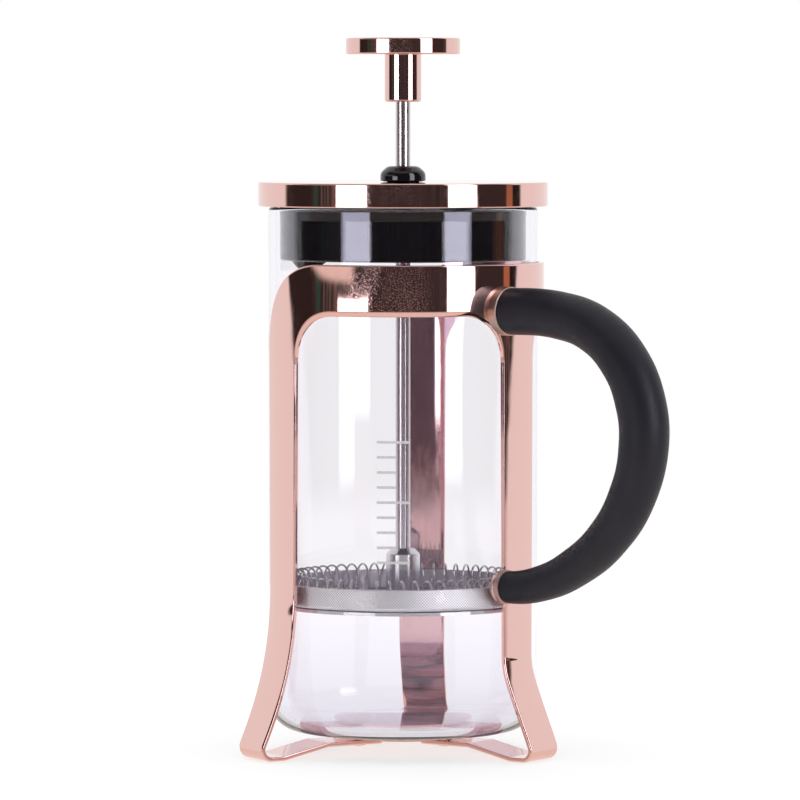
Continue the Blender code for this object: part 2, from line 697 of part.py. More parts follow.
ROSE_GOLD = principled("rose_gold_plate", (0.80, 0.50, 0.42), 0.08, metallic=1.0)
STEEL = principled("polished_steel", (0.62, 0.62, 0.64), 0.18, metallic=1.0)
GLASS = principled("borosilicate_glass", (0.95, 0.95, 0.98), 0.02, transmission=1.0)
BLACK_GRIP = principled("black_grip_plastic", (0.02, 0.02, 0.025), 0.42)
BLACK_GLOSS = principled("black_lid_plastic", (0.01, 0.01, 0.012), 0.12)

bpy.context.view_layer.update()
make_frame()
make_base()
make_beaker()
make_handle()
make_lid()
make_plunger()
make_filter()
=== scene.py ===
"""French press: the visible pieces and their materials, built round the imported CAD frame.

Metres, +Z up, in the CAD's own frame. The handle is towards +X and the pour spout towards -X.
"""

import math

import bmesh
import bpy
from mathutils import Matrix, Vector
from mathutils.kdtree import KDTree


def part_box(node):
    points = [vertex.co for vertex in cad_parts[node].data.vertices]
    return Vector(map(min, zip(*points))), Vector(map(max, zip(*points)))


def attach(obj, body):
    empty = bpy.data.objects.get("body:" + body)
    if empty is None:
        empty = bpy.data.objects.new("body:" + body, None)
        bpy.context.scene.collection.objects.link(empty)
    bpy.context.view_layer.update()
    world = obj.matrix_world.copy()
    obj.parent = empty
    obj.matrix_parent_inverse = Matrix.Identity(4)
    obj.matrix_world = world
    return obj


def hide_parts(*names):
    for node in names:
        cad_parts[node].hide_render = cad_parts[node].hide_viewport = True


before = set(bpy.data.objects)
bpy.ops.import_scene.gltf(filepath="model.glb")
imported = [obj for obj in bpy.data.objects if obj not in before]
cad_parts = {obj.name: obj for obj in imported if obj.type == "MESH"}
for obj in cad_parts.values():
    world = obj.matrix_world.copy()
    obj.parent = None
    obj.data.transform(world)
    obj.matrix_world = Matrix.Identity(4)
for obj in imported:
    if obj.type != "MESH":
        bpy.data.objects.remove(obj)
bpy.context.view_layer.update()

MM = 0.001
rod_low, rod_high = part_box("plunger_rod")
AXIS = Vector(((rod_low[0] + rod_high[0]) / 2, (rod_low[1] + rod_high[1]) / 2, 0))

# Sheet-metal frame
SHEET = 1.2 * MM
SHEET_ROUND = 0.45 * MM  # how far the outer face rolls over at its edges
WINDOW_ROLL = 1.5 * MM  # and along the windows' upper edges
FRAME_RADIUS = 37.6 * MM
BAND_BOTTOM = 119.1 * MM
BAND_TOP = 132.8 * MM
LEG_HALF_WIDTH = 7.1 * MM  # at the windows' upper corners
TAB_HALF_WIDTH = 6.1 * MM  # at the inner ends of the feet
LEG_ANGLES = (-114.4, 0.5, 116.9)
LEGS = range(len(LEG_ANGLES))
WINDOW_CORNER = 12.2 * MM
SHOULDER_RADIUS = 22 * MM
LEG_FLARES = (  # of each leg: the height where it starts to splay, the bend's radius and its angle
    (46 * MM, 102 * MM, 23.5),
    (28.3 * MM, 20 * MM, 20.8),
    (28.3 * MM, 20 * MM, 20.8),
)
FOOT_RADIUS = 2.6 * MM
FOOT_LAND = 3.5 * MM
TAB_RISE = 12.0
TAB_BEND = 4 * MM
TAB_LEVEL = 3.5 * MM
TAB_END_RADIUS = 9 * MM
TAB_END_CORNER = 2.0 * MM
CURL_ANGLE = -82.0  # middle of the drawn part of the band's top edge
CURL_HALF_ANGLE = 20.0
CURL_RISE = 11.5 * MM
CURL_DEPTH = 0.54 * MM
RIVET_PLACE = 14 * MM  # of the base rivets, from the press axis

# Handle
HANDLE_ANGLE = -9.0
HANDLE_PATH = (
    (40.4, 120.4, 6.25), (57.5, 119.8, 6.3), (70.5, 116.3, 6.4), (80.5, 108.6, 6.55),
    (86.3, 98.0, 6.65), (87.5, 86.5, 6.6), (83.3, 72.8, 6.25), (75.0, 61.8, 5.75),
    (64.0, 53.8, 5.3), (52.0, 48.7, 4.8), (39.4, 46.8, 4.3),
)
END_LEVER = 4 * MM
FERRULE_RADIUS = 6.5 * MM
COLLAR_RADIUS = 4.6 * MM

# Beaker
GLASS_BOTTOM = 5.9 * MM
GLASS_TOP = 147.6 * MM
GLASS_RADIUS = 36.4 * MM
GLASS_WALL = 1.8 * MM
GLASS_FLOOR = 2.2 * MM
SPOUT_REACH = 4.6 * MM
SPOUT_HALF_ANGLE = 24.0
SPOUT_DEPTH = 17 * MM

# Filter coil
COIL_LOOPS = 57
COIL_STEPS = 24  # points in each loop
COIL_WIRE = 0.28 * MM
COIL_RING = 30.6 * MM
COIL_HALF_WIDTH = 2.5 * MM
COIL_MIDDLE = 45.52 * MM
COIL_HALF_HEIGHT = 3.0 * MM

# Camera: degrees round from -Y towards +X, elevation, distance, height of the point it faces, lens in
# millimetres and sideways shift
VIEW_AZIMUTH = 35.3
VIEW_ANGLE = math.radians(-90 + VIEW_AZIMUTH)
VIEW_ELEVATION = 3.04
VIEW_DISTANCE = 1.504
VIEW_HEIGHT = 0.0953
VIEW_LENS = 249.7
VIEW_SHIFT = -0.00375


# ---- materials ------------------------------------------------------------------------------------


class Surface:
    """A node material around one Principled shader, with short helpers for its patterns."""

    def __init__(self, name, color, roughness, metallic=0.0, **sockets):
        self.material = bpy.data.materials.new(name)
        self.material.use_nodes = True
        self.tree = self.material.node_tree
        self.shader = self.tree.nodes["Principled BSDF"]
        self.set("Base Color", (*color, 1.0))
        self.set("Roughness", roughness)
        self.set("Metallic", metallic)
        for socket, value in sockets.items():
            self.set(socket.replace("_", " "), value)

    def set(self, socket, value):
        self.shader.inputs[socket].default_value = value

    def node(self, kind, **inputs):
        node = self.tree.nodes.new(kind)
        for name, value in inputs.items():
            self.feed(node.inputs[name.replace("_", " ")], value)
        return node

    def feed(self, socket, value):
        if isinstance(value, bpy.types.NodeSocket):
            self.tree.links.new(value, socket)
        else:
            socket.default_value = value

    def place(self, stretch=(1, 1, 1)):
        """Object coordinates, scaled along each axis."""
        coordinates = self.node("ShaderNodeTexCoord").outputs["Object"]
        return self.node("ShaderNodeMapping", Vector=coordinates, Scale=stretch).outputs["Vector"]

    def noise(self, scale, detail=3.0, stretch=(1, 1, 1)):
        return self.node(
            "ShaderNodeTexNoise", Vector=self.place(stretch), Scale=scale, Detail=detail
        ).outputs["Fac"]

    def ranged(self, value, low, high, start=0.3, end=0.7):
        node = self.node("ShaderNodeMapRange")
        for index, number in enumerate((value, start, end, low, high)):
            self.feed(node.inputs[index], number)
        return node.outputs["Result"]

    def math(self, operation, first, second=0.0):
        node = self.node("ShaderNodeMath")
        node.operation = operation
        self.feed(node.inputs[0], first)
        self.feed(node.inputs[1], second)
        return node.outputs[0]

    def mixed(self, factor, first, second):
        node = self.node("ShaderNodeMix")
        node.data_type = "RGBA"
        self.feed(node.inputs["Factor"], factor)
        self.feed(node.inputs[6], (*first, 1.0))
        self.feed(node.inputs[7], (*second, 1.0))
        return node.outputs[2]

    def bump(self, height, distance, strength=1.0, below=None):
        node = self.node("ShaderNodeBump", Height=height, Distance=distance, Strength=strength)
        if below:
            self.feed(node.inputs["Normal"], below)
        return node.outputs["Normal"]

    def link(self, socket, value):
        self.tree.links.new(value, self.shader.inputs[socket])


def satin_rose_gold():
    """The same plating over a turned, unpolished ring."""
    s = Surface("rose_gold_satin", (0.56, 0.40, 0.345), 0.42, metallic=1.0)
    lines = s.noise(900, 3, (1, 1, 1))
    s.link("Roughness", s.ranged(lines, 0.28, 0.40))
    s.link("Normal", s.bump(lines, 0.000006))
    return s.material


def rose_gold():
    """Mirror plating: faint waves of the pressed sheet, and fine wipe marks in the gloss."""
    s = Surface("rose_gold_plate", (0.785, 0.512, 0.472), 0.05, metallic=1.0)
    s.link("Roughness", s.ranged(s.noise(700, 4, (1, 1, 0.35)), 0.028, 0.065))
    waves = s.bump(s.noise(55, 1.5), 0.00004)
    split = s.node("ShaderNodeSeparateXYZ", Vector=s.node("ShaderNodeTexCoord").outputs["Object"])
    angle = s.math("ARCTAN2", split.outputs["Y"], s.math("SUBTRACT", split.outputs["X"], AXIS.x))
    angle = s.math("MULTIPLY", angle, 180 / math.pi)
    worn = s.math("MULTIPLY", s.ranged(angle, 0, 1, -79, -74), s.ranged(angle, 1, 0, -52, -40))
    worn = s.math("MULTIPLY", worn, s.ranged(s.noise(90, 2), 0.35, 1, 0.35, 0.60))
    pits = s.math("MULTIPLY", s.ranged(s.noise(3600, 1), 0, 1, 0.58, 0.68), worn)
    s.link("Normal", s.bump(pits, 0.000005, below=waves))
    return s.material


def polished_steel(name="polished_steel", color=(0.60, 0.575, 0.60), rough=(0.15, 0.24)):
    """Drawn and polished steel, with very fine lines along it."""
    s = Surface(name, color, rough[0], metallic=1.0)
    lines = s.noise(1500, 4, (1, 1, 0.02))
    s.link("Roughness", s.ranged(lines, *rough))
    s.link("Normal", s.bump(lines, 0.000004))
    return s.material


def wire_cloth():
    """Woven wire: two sets of threads crossing on the skew, over and under in turn."""
    s = Surface("filter_wire_cloth", (0.6, 0.59, 0.6), 0.3, metallic=0.9)
    split = s.node("ShaderNodeSeparateXYZ", Vector=s.node("ShaderNodeTexCoord").outputs["Object"])
    x = s.math("SUBTRACT", split.outputs["X"], AXIS.x)
    y, z = split.outputs["Y"], split.outputs["Z"]
    pitch = 1.5 * MM
    around = s.math("MULTIPLY", s.math("ARCTAN2", y, x), 34.0 * MM)
    normal = s.node("ShaderNodeSeparateXYZ", Vector=s.node("ShaderNodeNewGeometry").outputs["Normal"])
    flat = s.math("GREATER_THAN", s.math("ABSOLUTE", normal.outputs["Z"]), 0.7)

    def chosen(on_flat, on_wall):
        return s.math("ADD", s.math("MULTIPLY", flat, on_flat),
                      s.math("MULTIPLY", s.math("SUBTRACT", 1.0, flat), on_wall))

    across, up = chosen(x, around), chosen(y, z)
    turn = 2 * math.pi / pitch
    first = s.math("SINE", s.math("MULTIPLY", s.math("ADD", across, up), turn))
    second = s.math("SINE", s.math("MULTIPLY", s.math("SUBTRACT", across, up), turn))
    weave = s.math("MAXIMUM", s.math("ABSOLUTE", first), s.math("ABSOLUTE", second))
    patch = s.noise(260, 3)
    threads = s.ranged(weave, 0, 1, 0.50, 0.95)
    s.link("Base Color", s.mixed(threads, (0.20, 0.195, 0.20), (1.0, 0.99, 1.0)))
    s.link("Roughness", s.ranged(patch, 0.24, 0.42))
    s.link("Normal", s.bump(weave, 0.0001))
    return s.material


def clear_glass():
    """Blown borosilicate glass, with hardly visible waves, and painted lavender shade that darkens it towards
    the bottom.
    """
    s = Surface("borosilicate_glass", (0.982, 0.972, 1.0), 0.0, Transmission_Weight=1.0, IOR=1.5,
                Specular_Tint=(0.84, 0.84, 1.0, 1.0))
    split = s.node("ShaderNodeSeparateXYZ", Vector=s.node("ShaderNodeTexCoord").outputs["Object"])
    painted_shade_fade = s.ranged(split.outputs["Z"], 0, 1, 10 * MM, 44 * MM)  # painted lavender shade: full below 10 mm, fading out upwards until 44 mm
    # The base colour is painted lavender low down as shade, and clears higher up.
    s.link("Base Color", s.mixed(painted_shade_fade, (0.905, 0.895, 0.95), (0.982, 0.972, 1.0)))
    s.link("Normal", s.bump(s.noise(38, 1), 0.00002))
    return s.material


def satin_grip():
    """Moulded black plastic with a fine spark-eroded grain."""
    s = Surface("black_grip_plastic", (0.009, 0.009, 0.015), 0.45, Specular_IOR_Level=0.3)
    patches = s.ranged(s.noise(120, 2), 0, 1)
    s.link("Base Color", s.mixed(patches, (0.008, 0.008, 0.014), (0.011, 0.011, 0.018)))
    s.link("Roughness", s.ranged(s.noise(900, 3), 0.42, 0.52))
    s.link("Normal", s.bump(s.noise(3200, 2), 0.00002))
    return s.material


def gloss_plastic():
    """Glossy moulded black plastic, very slightly uneven."""
    s = Surface("black_lid_plastic", (0.006, 0.006, 0.009), 0.05)
    s.link("Roughness", s.ranged(s.noise(500, 3), 0.03, 0.08))
    s.link("Normal", s.bump(s.noise(70, 1), 0.00002))
    return s.material


def level_print():
    """Frosted grey enamel, a little worn."""
    s = Surface("frosted_level_marks", (0.55, 0.53, 0.55), 0.55)
    wear = s.ranged(s.noise(1800, 3), 0, 1)
    s.link("Base Color", s.mixed(wear, (0.50, 0.48, 0.50), (0.62, 0.60, 0.62)))
    return s.material


ROSE_GOLD = rose_gold()
SATIN_GOLD = satin_rose_gold()
STEEL = polished_steel()
HUB_STEEL = polished_steel("turned_steel", (0.66, 0.65, 0.67), (0.16, 0.24))
CLOTH = wire_cloth()
GLASS = clear_glass()
GRIP = satin_grip()
GLOSS = gloss_plastic()
MARKS = level_print()


# ---- shapes ---------------------------------------------------------------------------------------


def finish_piece(obj, material, body, *nodes):
    """Gives a piece its material, slot and body, and hides the CAD nodes it stands for."""
    obj.data.materials.append(material)
    if nodes:
        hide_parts(*nodes)
    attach(obj, body)
    return obj


def new_object(name, points, faces, normals=None):
    mesh = bpy.data.meshes.new(name)
    mesh.from_pydata([tuple(point) for point in points], [], faces)
    mesh.validate()
    mesh.shade_smooth()
    if normals:
        mesh.normals_split_custom_set_from_vertices([tuple(normal) for normal in normals])
    obj = bpy.data.objects.new(name, mesh)
    bpy.context.scene.collection.objects.link(obj)
    return obj


SHARP = 0.04 * MM  # the smallest edge radius


def softened(profile, closed, steps=5):
    """Points and normals of a profile of (radius, height, fillet) corners, with the solid on its right."""
    corners = [Vector((radius, height)) for radius, height, _ in profile]
    count = len(corners)

    def side(first, second):
        along = (second - first).normalized()
        return Vector((-along.y, along.x))

    result = []
    for index, (_, _, fillet) in enumerate(profile):
        here = corners[index]
        if not closed and index in (0, count - 1):
            normal = side(here, corners[1]) if index == 0 else side(corners[-2], here)
            result.append((here, normal))
            continue
        before, after = corners[index - 1], corners[(index + 1) % count]
        start, end = side(before, here), side(here, after)
        turn = math.atan2(start.x * end.y - start.y * end.x, start.dot(end))
        if abs(turn) < 1e-4:
            result.append((here, start))
            continue
        fillet = max(fillet, SHARP)
        reach = fillet * abs(math.tan(turn / 2))
        limit = 0.499 * min((here - before).length, (after - here).length)
        if not closed and index in (1, count - 2):
            limit *= 2 * 0.98
        if reach > limit:
            fillet *= limit / reach
            reach = limit
        center = here - (here - before).normalized() * reach + start * fillet * math.copysign(1, turn)
        parts = max(1, min(24, round(steps * abs(turn) / (math.pi / 2) * (1 + fillet / (3 * MM)))))
        for part in range(parts + 1):
            angle = turn * part / parts
            normal = Vector((
                start.x * math.cos(angle) - start.y * math.sin(angle),
                start.x * math.sin(angle) + start.y * math.cos(angle),
            ))
            result.append((center - normal * fillet * math.copysign(1, turn), normal))
    return result


def turned(name, profile, closed=True, segments=192, steps=5):
    """A profile with filleted corners, turned round the press axis, with exact normals."""
    ring = softened(profile, closed, steps)
    points, normals, faces = [], [], []
    rows = []
    for place, normal in ring:
        if place.x < 1e-7:
            rows.append([len(points)])
            points.append(AXIS + Vector((0, 0, place.y)))
            normals.append(Vector((0, 0, math.copysign(1, normal.y))))
            continue
        row = []
        for step in range(segments):
            angle = 2 * math.pi * step / segments
            c, s = math.cos(angle), math.sin(angle)
            row.append(len(points))
            points.append(AXIS + Vector((place.x * c, place.x * s, place.y)))
            normals.append(Vector((normal.x * c, normal.x * s, normal.y)).normalized())
        rows.append(row)
    pairs = list(zip(rows, rows[1:])) + ([(rows[-1], rows[0])] if closed else [])
    for first, second in pairs:
        for step in range(segments):
            after = (step + 1) % segments
            if len(first) == 1:
                faces.append((first[0], second[step], second[after]))
            elif len(second) == 1:
                faces.append((first[step], second[0], first[after]))
            else:
                faces.append((first[step], second[step], second[after], first[after]))
    return new_object(name, points, faces, normals)


def arc(center, radius, start, end, steps=4):
    """Points on an arc between two angles in degrees, both ends included."""
    points = []
    for step in range(steps + 1):
        angle = math.radians(start + (end - start) * step / steps)
        points.append((center[0] + radius * math.cos(angle), center[1] + radius * math.sin(angle)))
    return points


# ---- frame ----------------------------------------------------------------------------------------


def leg_segments(leg):
    """(length, turn in degrees) of a leg's middle line, from where its flare starts to the tab's end."""
    start, bend, splay = LEG_FLARES[leg]
    flare = math.radians(splay)
    rise = math.radians(TAB_RISE)
    flare_end = start - bend * math.sin(flare)
    foot_drop = FOOT_RADIUS * (1 + math.sin(flare))
    shin = (flare_end - foot_drop - SHEET / 2) / math.cos(flare)
    bend_rise = 2 * TAB_BEND * (1 - math.cos(rise))
    ramp = (TAB_LEVEL - SHEET / 2 - bend_rise) / math.sin(rise)
    foot_reach = (
        FRAME_RADIUS + bend * (1 - math.cos(flare)) + shin * math.sin(flare)
        - FOOT_RADIUS * math.cos(flare)
    )
    bends = 2 * TAB_BEND * math.sin(rise)
    level = foot_reach - FOOT_LAND - bends - ramp * math.cos(rise) - TAB_END_RADIUS
    return (
        (bend * flare, splay),
        (shin, 0.0),
        (FOOT_RADIUS * (math.pi / 2 + flare), -90.0 - splay),
        (FOOT_LAND, 0.0),
        (TAB_BEND * rise, -TAB_RISE),
        (ramp, 0.0),
        (TAB_BEND * rise, TAB_RISE),
        (level, 0.0),
    )


LEG_PLACES = [math.radians(angle) * FRAME_RADIUS for angle in LEG_ANGLES]  # across the flat sheet
LEG_SEGMENTS = [leg_segments(leg) for leg in LEGS]
TAB_ENDS = [LEG_FLARES[leg][0] - sum(length for length, _ in LEG_SEGMENTS[leg]) for leg in LEGS]
FLAT_FROM = [sum(length for length, _ in LEG_SEGMENTS[leg][:2]) for leg in LEGS]  # past flare and shin


def leg_point(leg, along):
    """Radius, height and outward lean of a leg's middle line, along its length."""
    radius, height, lean = FRAME_RADIUS, LEG_FLARES[leg][0], 0.0
    for length, turn in LEG_SEGMENTS[leg]:
        step = min(along, length)
        turned_by = math.radians(turn) * step / length
        if turn and step > 0:
            bend = step / turned_by
            radius += bend * (math.cos(lean) - math.cos(lean + turned_by))
            height -= bend * (math.sin(lean + turned_by) - math.sin(lean))
        else:
            radius += step * math.sin(lean)
            height -= step * math.cos(lean)
        lean += turned_by
        along -= step
        if along <= 0:
            break
    else:
        radius += along * math.sin(lean)
        height -= along * math.cos(lean)
    return radius, height, lean


def shoulder_curl(angle, up):
    """How far the band's top edge leans in beside the near shoulder, where the press has drawn it."""
    rise = min(max((up - (BAND_TOP - CURL_RISE)) / CURL_RISE, 0.0), 1.0)
    return CURL_DEPTH * rise**1.5 * math.exp(-(((angle - CURL_ANGLE) / CURL_HALF_ANGLE) ** 4))


def rolled(across, up):
    """Where a point of the flat sheet goes when the sheet is rolled and its legs are bent."""
    leg = min(LEGS, key=lambda index: abs(across - LEG_PLACES[index]))
    along = LEG_FLARES[leg][0] - up
    if along <= 0:
        angle = across / FRAME_RADIUS
        radius = FRAME_RADIUS - shoulder_curl(math.degrees(angle), up)
        return Vector((radius * math.cos(angle), radius * math.sin(angle), up))
    offset = across - LEG_PLACES[leg]
    radius, height, lean = leg_point(leg, along)
    share = min(along / FLAT_FROM[leg], 1.0) ** 2
    curve = (1 - share * share * (3 - 2 * share)) / FRAME_RADIUS
    side, sag = offset, 0.0
    if curve > 1e-6:
        side, sag = math.sin(offset * curve) / curve, (1 - math.cos(offset * curve)) / curve
    radius -= sag * math.cos(lean)
    height -= sag * math.sin(lean)
    turn = math.radians(LEG_ANGLES[leg])
    return Vector((
        radius * math.cos(turn) - side * math.sin(turn),
        radius * math.sin(turn) + side * math.cos(turn),
        height,
    ))


def rolled_frame(across, up):
    """The rolled point with the sheet's two directions and its outward normal there."""
    h = 0.02 * MM
    over = (rolled(across + h, up) - rolled(across - h, up)).normalized()
    rise = (rolled(across, up + h) - rolled(across, up - h)).normalized()
    return rolled(across, up), over, rise, over.cross(rise).normalized()


def sheet_outline():
    """The flat sheet, as counter-clockwise (across, up) points: a band with round shoulders, and legs."""
    left, right = LEG_PLACES[0] - LEG_HALF_WIDTH, LEG_PLACES[-1] + LEG_HALF_WIDTH
    shoulder = BAND_TOP - SHOULDER_RADIUS
    outline = arc((right - SHOULDER_RADIUS, shoulder), SHOULDER_RADIUS, 0, 90, 40)
    outline += arc((left + SHOULDER_RADIUS, shoulder), SHOULDER_RADIUS, 90, 180, 40)
    for index, (leg, tab_end) in enumerate(zip(LEG_PLACES, TAB_ENDS)):
        if index:
            corner = (leg - LEG_HALF_WIDTH - WINDOW_CORNER, BAND_BOTTOM - WINDOW_CORNER)
            outline += arc(corner, WINDOW_CORNER, 90, 0, 24)
        if index == 1:
            outline += handle_ear()
        end = TAB_END_CORNER
        outline += arc((leg - TAB_HALF_WIDTH + end, tab_end + end), end, 180, 270, 8)
        outline += arc((leg + TAB_HALF_WIDTH - end, tab_end + end), end, 270, 360, 8)
        if index < len(LEGS) - 1:
            corner = (leg + LEG_HALF_WIDTH + WINDOW_CORNER, BAND_BOTTOM - WINDOW_CORNER)
            outline += arc(corner, WINDOW_CORNER, 180, 90, 24)
    return outline


def handle_ear():
    """The round bulge on the leg's edge that backs the handle's lower end."""
    height = HANDLE_PATH[-1][1] * MM
    center = math.radians(HANDLE_ANGLE) * FRAME_RADIUS
    top = BAND_BOTTOM - WINDOW_CORNER
    taper = (top - height) / (top - TAB_ENDS[1])
    edge = LEG_PLACES[1] - LEG_HALF_WIDTH + (LEG_HALF_WIDTH - TAB_HALF_WIDTH) * taper
    half = math.degrees(math.acos((center - edge) / COLLAR_RADIUS))
    return arc((center, height), COLLAR_RADIUS, 180 - half, 180 + half, 14)


def rim_width(place, outward):
    """How wide the outer face rolls over at its edge: most where a window cuts under the band."""
    under = max(0.0, -outward.y) if place.y > 90 * MM else 0.0
    return SHEET_ROUND + (WINDOW_ROLL - SHEET_ROUND) * under * under * (3 - 2 * under)


def inset(outline):
    """The outline moved in by the rim's width, in steps of up to a millimetre, with its outward directions."""
    points = []
    for index, point in enumerate(outline):
        first, second = Vector(point), Vector(outline[(index + 1) % len(outline)])
        length = (second - first).length
        if length < 1e-7:
            continue
        parts = max(1, math.ceil(length / MM))
        points += [first.lerp(second, part / parts) for part in range(parts)]
    moved, outwards = [], []
    for index, point in enumerate(points):
        before = (point - points[index - 1]).normalized()
        after = (points[(index + 1) % len(points)] - point).normalized()
        outward = Vector((before.y + after.y, -before.x - after.x)).normalized()
        scale = max(0.5, outward.dot(Vector((after.y, -after.x))))
        moved.append(point - outward * rim_width(point, outward) / scale)
        outwards.append(outward)
    return moved, outwards


def split_lines(cage, normal, places, near=None):
    """Cuts the flat sheet along straight lines, either right across or only in the leg at near."""
    for place in places:
        faces = [
            face for face in cage.faces
            if near is None or abs(face.calc_center_median().x - near) < 1.5 * LEG_HALF_WIDTH
        ]
        edges = {edge for face in faces for edge in face.edges}
        geometry = list({vertex for face in faces for vertex in face.verts}) + list(edges) + faces
        bmesh.ops.bisect_plane(
            cage, geom=geometry, dist=1e-7, plane_co=Vector(normal) * place, plane_no=normal
        )


def make_frame():
    """The one-piece frame: both faces of the sheet with its rolled rim between them."""
    curve = bpy.data.curves.new("blank", "CURVE")
    curve.dimensions = "2D"
    curve.fill_mode = "BOTH"
    spline = curve.splines.new("POLY")
    outline, outwards = inset(sheet_outline())
    known = KDTree(len(outline))
    for index, place in enumerate(outline):
        known.insert((place.x, place.y, 0), index)
    known.balance()
    spline.points.add(len(outline) - 1)
    for point, place in zip(spline.points, outline):
        point.co = (place.x * 10, place.y * 10, 0, 1)
    spline.use_cyclic_u = True
    blank = bpy.data.objects.new("blank", curve)
    bpy.context.scene.collection.objects.link(blank)
    graph = bpy.context.evaluated_depsgraph_get()
    flat = bpy.data.meshes.new_from_object(blank.evaluated_get(graph))
    bpy.data.objects.remove(blank, do_unlink=True)

    cage = bmesh.new()
    cage.from_mesh(flat)
    bmesh.ops.scale(cage, vec=(0.1, 0.1, 0.1), verts=cage.verts)
    bmesh.ops.remove_doubles(cage, verts=cage.verts, dist=1e-6)
    bmesh.ops.dissolve_limit(cage, angle_limit=0.01, verts=[], edges=cage.edges)
    column = 1.3 * MM
    reach = int(max(abs(point.x) for point in outline) / column)
    split_lines(cage, (1, 0, 0), [column * i for i in range(-reach, reach + 1)])
    split_lines(cage, (0, 1, 0), [BAND_TOP - step * MM for step in range(1, 12)])
    for leg, place in enumerate(LEG_PLACES):
        rows = [LEG_FLARES[leg][0] + step * 4 * MM for step in range(22, -1, -1)]
        rows = [row for row in rows if row < BAND_BOTTOM]
        for length, turn in LEG_SEGMENTS[leg]:
            steps = max(2, round(abs(turn) / 4), round(length / (2 * MM)))
            rows += [rows[-1] - length / steps * step for step in range(1, steps + 1)]
        split_lines(cage, (0, 1, 0), rows[:-1], place)
    bmesh.ops.remove_doubles(cage, verts=cage.verts, dist=0.08 * MM)
    bmesh.ops.dissolve_degenerate(cage, dist=0.02 * MM, edges=cage.edges)
    bmesh.ops.recalc_face_normals(cage, faces=cage.faces)
    if sum(face.normal.z for face in cage.faces) < 0:
        bmesh.ops.reverse_faces(cage, faces=cage.faces)
    cage.verts.index_update()
    flat_points = [Vector((v.co.x, v.co.y)) for v in cage.verts]
    flat_faces = [[v.index for v in face.verts] for face in cage.faces]
    following = {}
    for face in cage.faces:
        for loop in face.loops:
            if loop.edge.is_boundary:
                following[loop.vert.index] = loop.link_loop_next.vert.index
    cage.free()
    bpy.data.meshes.remove(flat)

    places = [rolled_frame(p.x, p.y) for p in flat_points]
    half = SHEET / 2
    points = [p + n * half for p, _, _, n in places] + [p - n * half for p, _, _, n in places]
    normals = [n for _, _, _, n in places] + [-n for _, _, _, n in places]
    count = len(flat_points)
    faces = [tuple(face) for face in flat_faces]
    faces += [tuple(index + count for index in reversed(face)) for face in flat_faces]
    starts = set(following)
    while starts:
        first = starts.pop()
        loop = [first]
        while following[loop[-1]] != first:
            loop.append(following[loop[-1]])
            starts.discard(loop[-1])
        rim = [rim_direction(flat_points[vertex], known, outwards) for vertex in loop]
        rings = rim_rings(loop, rim, places, points, normals, count)
        for upper, lower in zip(rings, rings[1:]):
            for index in range(len(loop)):
                after = (index + 1) % len(loop)
                faces.append((upper[index], lower[index], lower[after], upper[after]))
    moved = [point + AXIS for point in points]
    obj = new_object("frame_sheet", moved, faces, normals)
    return finish_piece(obj, ROSE_GOLD, "frame", "frame")


def rim_direction(point, known, outwards):
    """The outward direction and rim width at a point of the inset edge, from the two nearest known points."""
    (_, first, near), (_, second, far) = known.find_n((point.x, point.y, 0), 2)
    share = near / max(near + far, 1e-9)
    outward = outwards[first].lerp(outwards[second], share).normalized()
    return outward, rim_width(point, outward)


def rim_rings(loop, rim, places, points, normals, count):
    """Rows of points round the rolled rim, from the outer face's edge to the inner face's."""
    half, steps = SHEET / 2, 6
    rings = [list(loop)]
    section = []  # which rounding, the outer or the back one, and its outward and upward shares
    for step in range(1, steps + 1):
        a = math.pi / 2 * step / steps
        section.append(("roll", math.sin(a), math.cos(a)))
    for step in range(steps + 1):
        a = math.pi / 2 * step / steps
        section.append(("back", math.cos(a), math.sin(a)))
    for kind, out, up in section:
        ring = []
        for vertex, (outward, width) in zip(loop, rim):
            place, over, rise, normal = places[vertex]
            away = over * outward.x + rise * outward.y
            depth = min(0.75 * MM, SHEET_ROUND + 0.5 * (width - SHEET_ROUND))
            if kind == "roll":
                reach, lift = width * out, half - depth * (1 - up)
                turn = normal * (up / depth) + away * (out / width)
            else:
                small = 0.2 * MM
                reach, lift = width - small * (1 - out), -half + small * (1 - up)
                turn = away * out - normal * up
            ring.append(len(points))
            points.append(place + away * reach + normal * lift)
            normals.append(turn.normalized())
        rings.append(ring)
    rings.append([vertex + count for vertex in loop])
    return rings


# ---- beaker ---------------------------------------------------------------------------------------


def make_beaker():
    inner = GLASS_RADIUS - GLASS_WALL
    floor = GLASS_BOTTOM + GLASS_FLOOR
    heights = [GLASS_TOP - SPOUT_DEPTH * share / 16 for share in range(16, 1, -1)]
    profile = [(0, floor, 0), (inner, floor, 6.2 * MM)]
    profile += [(inner, height, 0) for height in heights]
    profile += [(inner, GLASS_TOP, 0.88 * MM), (GLASS_RADIUS, GLASS_TOP, 0.88 * MM)]
    profile += [(GLASS_RADIUS, height, 0) for height in reversed(heights)]
    profile += [(GLASS_RADIUS, GLASS_BOTTOM, 8 * MM), (0, GLASS_BOTTOM, 0)]
    beaker = turned("beaker_glass", profile, closed=False, segments=256, steps=7)
    for vertex in beaker.data.vertices:
        away = vertex.co - AXIS
        reach = spout_shift(away)
        if reach > 0:
            vertex.co += Vector((away.x, away.y, 0)).normalized() * reach
    smooth_spout_normals(beaker.data)
    return finish_piece(beaker, GLASS, "beaker", "glass_beaker")


def smooth_spout_normals(mesh):
    """Recomputes the normals from the shape, because the spout has been drawn out of the turned wall."""
    mesh.normals_split_custom_set([(0, 0, 0)] * len(mesh.loops))


def spout_shift(point):
    """How far the pour spout stands out at a point of the beaker's wall."""
    away = abs(180 - abs(math.degrees(math.atan2(point.y, point.x))))
    height = (point.z - (GLASS_TOP - SPOUT_DEPTH)) / SPOUT_DEPTH
    if away >= SPOUT_HALF_ANGLE or height <= 0:
        return 0.0
    return SPOUT_REACH * min(height, 1.0) ** 2 * math.cos(math.pi / 2 * away / SPOUT_HALF_ANGLE) ** 2


